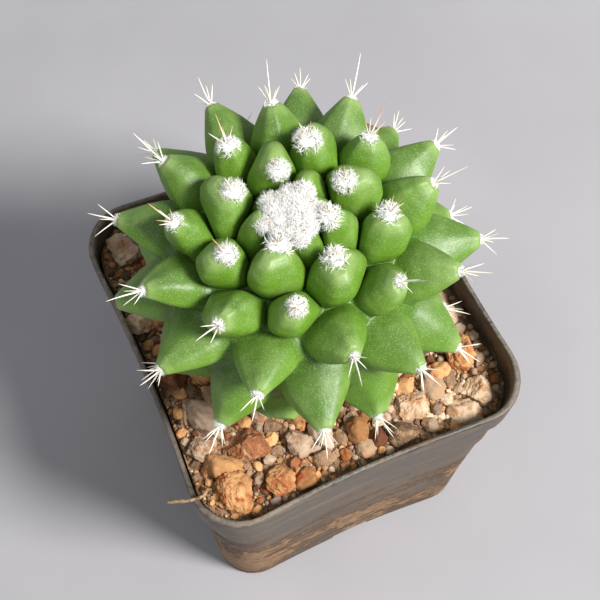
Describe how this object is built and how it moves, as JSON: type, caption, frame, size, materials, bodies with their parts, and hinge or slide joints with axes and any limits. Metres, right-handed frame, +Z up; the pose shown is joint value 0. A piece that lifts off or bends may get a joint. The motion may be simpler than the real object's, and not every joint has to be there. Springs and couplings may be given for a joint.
{
  "type": "potted round cactus",
  "caption": "Round green cactus of pointed tubercles tipped with white wool and short spines, rooted in gritty soil in a square black plastic nursery pot.",
  "frame": {"origin": "centre of the whole object's box, on the ground under the pot", "axes": "+Z up along the plant; the pot's sides lie along X and Y, and +Y is the side away from the leaning root fibre's corner"},
  "size_m": [0.0748, 0.0746, 0.1162],
  "materials": {
    "pot": "satin",
    "soil": "matte",
    "stone": "matte",
    "stem": "satin",
    "wool": "matte",
    "spines": "matte",
    "fibre": "matte"
  },
  "bodies": {
    "root": {"nursery_pot": "pot", "potting_soil": "soil", "root_fibre": "fibre", "straw_bit": "fibre", "cactus_stem": "stem", "crown_wool": "wool", "grit_stone_01": "stone", "grit_stone_02": "stone", "grit_stone_03": "stone", "grit_stone_04": "stone", "grit_stone_05": "stone", "grit_stone_06": "stone", "grit_stone_07": "stone", "grit_stone_08": "stone", "grit_stone_09": "stone", "grit_stone_10": "stone", "spine_cluster_05": "spines", "spine_cluster_06": "spines", "spine_cluster_07": "spines", "spine_cluster_08": "spines", "spine_cluster_09": "spines", "spine_cluster_10": "spines", "spine_cluster_11": "spines", "spine_cluster_12": "spines", "spine_cluster_13": "spines", "spine_cluster_14": "spines", "spine_cluster_15": "spines", "spine_cluster_16": "spines", "spine_cluster_17": "spines", "spine_cluster_18": "spines", "spine_cluster_19": "spines", "spine_cluster_20": "spines", "spine_cluster_21": "spines", "spine_cluster_22": "spines", "spine_cluster_23": "spines", "spine_cluster_24": "spines", "spine_cluster_25": "spines", "spine_cluster_26": "spines", "spine_cluster_27": "spines", "spine_cluster_28": "spines", "spine_cluster_29": "spines", "spine_cluster_30": "spines", "spine_cluster_31": "spines", "spine_cluster_32": "spines", "spine_cluster_33": "spines", "spine_cluster_34": "spines", "spine_cluster_35": "spines", "spine_cluster_36": "spines", "spine_cluster_37": "spines", "spine_cluster_39": "spines", "spine_cluster_40": "spines", "spine_cluster_41": "spines", "spine_cluster_42": "spines", "spine_cluster_43": "spines", "spine_cluster_44": "spines", "spine_cluster_46": "spines", "spine_cluster_47": "spines"}
  },
  "joints": []
}
